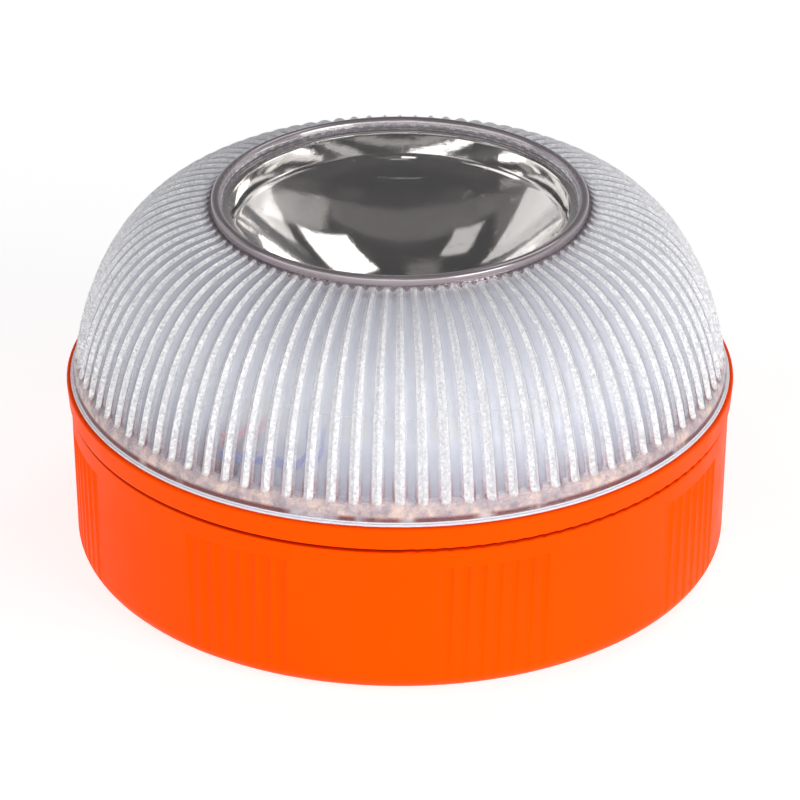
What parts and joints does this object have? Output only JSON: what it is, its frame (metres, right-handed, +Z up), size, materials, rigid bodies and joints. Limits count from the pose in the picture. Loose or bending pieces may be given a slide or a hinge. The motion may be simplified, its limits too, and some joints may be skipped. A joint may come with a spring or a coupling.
{
  "type": "road flare",
  "caption": "Round magnetic LED road flare: orange cup with grips, bezel, ribbed clear dome, torch reflector behind a top window, battery and push button inside.",
  "frame": {"origin": "centre of the rubber ring that the lamp stands on, on the ground", "axes": "+Z up through the torch window; -Y is the front, just left of one of the eight grips"},
  "size_m": [0.096, 0.096, 0.0544],
  "materials": {
    "orange_abs": "smooth satin orange ABS",
    "clear_dome": "clear ribbed polycarbonate",
    "white_abs": "white ABS",
    "reflector_chrome": "vacuum-metallised",
    "black_rubber": "matte",
    "clear_silicone": "translucent silicone",
    "button_plastic": "fine texture",
    "black_plastic": "matte",
    "magnet_nickel": "nickel-plated",
    "screw_steel": "zinc-plated",
    "spring_steel": "polished",
    "board_white": "white solder mask",
    "board_green": "green solder mask",
    "led_yellow": "white package with phosphor",
    "aluminium_plate": "turned",
    "battery_case": "satin",
    "terminal_nickel": "nickel-plated",
    "ferrite": "ferrite",
    "capacitor_can": "sleeved can",
    "chip_epoxy": "moulded epoxy",
    "wire_red": "PVC insulation",
    "wire_black": "PVC insulation",
    "wire_blue": "PVC insulation"
  },
  "bodies": {
    "base": {"base_cup": "orange_abs", "foot_ring": "black_rubber", "ring_magnet": "magnet_nickel", "button_spring": "spring_steel", "button_retainer": "black_plastic", "retainer_screws": "screw_steel"},
    "seal": {"cup_seal": "black_rubber"},
    "head": {"battery": "battery_case", "battery_cradle": "black_plastic", "battery_door": "black_plastic", "battery_snap": "black_plastic", "battery_terminals": "terminal_nickel", "battery_wire_black": "wire_black", "battery_wire_red": "wire_red", "bezel_ring": "orange_abs", "carrier": "white_abs", "carrier_screws": "screw_steel", "cradle_screws": "screw_steel", "dome": "clear_dome", "dome_seal": "clear_silicone", "door_screws": "screw_steel", "driver_board": "board_green", "driver_board_screws": "screw_steel", "driver_capacitor": "capacitor_can", "driver_chips": "chip_epoxy", "driver_inductor": "ferrite", "led_board": "board_white", "led_board_screws": "screw_steel", "led_wire_blue": "wire_blue", "led_wire_red": "wire_red", "switch_board": "board_green", "switch_body": "black_plastic", "switch_wire_black": "wire_black", "switch_wire_red": "wire_red", "torch_heat_sink": "aluminium_plate", "torch_led": "led_yellow", "torch_reflector": "reflector_chrome", "torch_star_board": "board_white", "warning_leds": "led_yellow"},
    "button": {"push_button": "button_plastic", "button_seal": "black_rubber"},
    "plunger": {"switch_plunger": "button_plastic"}
  },
  "joints": [
    {"name": "head_lift", "type": "slide", "parent": "base", "child": "seal", "axis": [0, 0, 1], "range_m": [0, 0.02]},
    {"name": "head_turn", "type": "hinge", "parent": "seal", "child": "head", "pos_m": [0, 0, 0.0205], "axis": [0, 0, 1], "range_deg": [-30, 0]},
    {"name": "button_press", "type": "slide", "parent": "base", "child": "button", "axis": [0, 0, 1], "range_m": [0, 0.001], "stiffness_N_per_m": 1500, "springref_m": -0.0004, "deforming": ["button_spring"]},
    {"name": "switch_press", "type": "slide", "parent": "head", "child": "plunger", "axis": [0, 0, 1], "range_m": [0, 0.001], "stiffness_N_per_m": 0.01, "springref_m": 0.0149}
  ],
  "couplings": [
    {"joint": "switch_press", "follows": "button_press", "ratio": 1}
  ]
}
